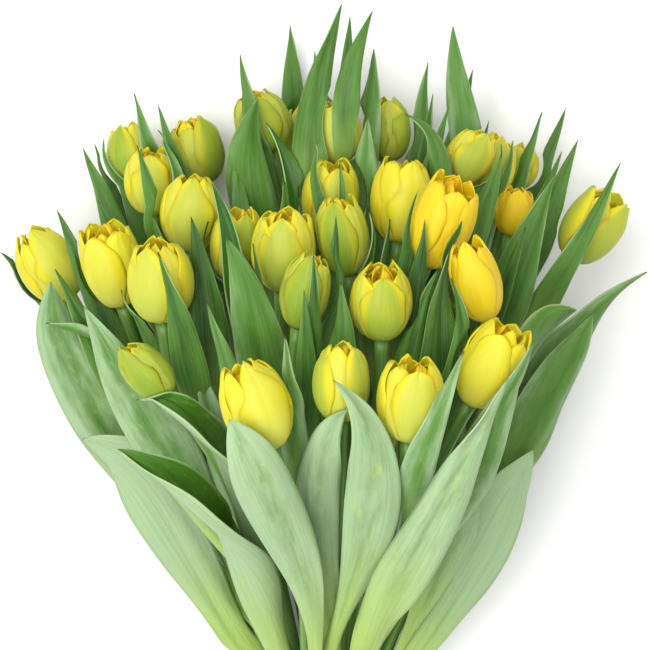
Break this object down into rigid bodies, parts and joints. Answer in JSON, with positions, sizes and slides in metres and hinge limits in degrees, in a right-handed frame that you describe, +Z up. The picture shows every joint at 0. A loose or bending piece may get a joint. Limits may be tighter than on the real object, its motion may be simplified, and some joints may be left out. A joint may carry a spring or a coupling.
{
  "type": "bunch of tulips",
  "caption": "Bunch of closed yellow tulips on leafy green stems, tied round the stems with a band and lying on its side, heads fanned out.",
  "frame": {"origin": "the middle of the flat run of the tie that lies on the surface, under the neck of the bunch", "axes": "+Y along the stems towards the flower heads, +X to the right as seen in the picture, +Z up from the surface"},
  "size_m": [0.3244, 0.4616, 0.194],
  "materials": {
    "petal": "satin",
    "leaf": "satin",
    "tie": "matte"
  },
  "bodies": {
    "root": {"bloom_01": "petal", "bloom_02": "petal", "bloom_03": "petal", "bloom_04": "petal", "bloom_05": "petal", "bloom_06": "petal", "bloom_07": "petal", "bloom_08": "petal", "bloom_09": "petal", "bloom_10": "petal", "bloom_11": "petal", "bloom_12": "petal", "bloom_13": "petal", "bloom_14": "petal", "bloom_15": "petal", "bloom_16": "petal", "bloom_17": "petal", "bloom_18": "petal", "bloom_19": "petal", "bloom_20": "petal", "bloom_21": "petal", "bloom_22": "petal", "bloom_23": "petal", "bloom_24": "petal", "bloom_25": "petal", "bloom_26": "petal", "bloom_27": "petal", "bloom_28": "petal", "bloom_29": "petal", "bloom_30": "petal", "leafy_stem_01": "leaf", "leafy_stem_02": "leaf", "leafy_stem_03": "leaf", "leafy_stem_04": "leaf", "leafy_stem_05": "leaf", "leafy_stem_06": "leaf", "leafy_stem_07": "leaf", "leafy_stem_08": "leaf", "leafy_stem_09": "leaf", "leafy_stem_10": "leaf", "leafy_stem_11": "leaf", "leafy_stem_12": "leaf", "leafy_stem_13": "leaf", "leafy_stem_14": "leaf", "leafy_stem_15": "leaf", "leafy_stem_16": "leaf", "leafy_stem_17": "leaf", "leafy_stem_18": "leaf", "leafy_stem_19": "leaf", "leafy_stem_20": "leaf", "leafy_stem_21": "leaf", "leafy_stem_22": "leaf", "leafy_stem_23": "leaf", "leafy_stem_24": "leaf", "leafy_stem_25": "leaf", "leafy_stem_26": "leaf", "leafy_stem_27": "leaf", "leafy_stem_28": "leaf", "leafy_stem_29": "leaf", "tie": "tie"}
  },
  "joints": []
}
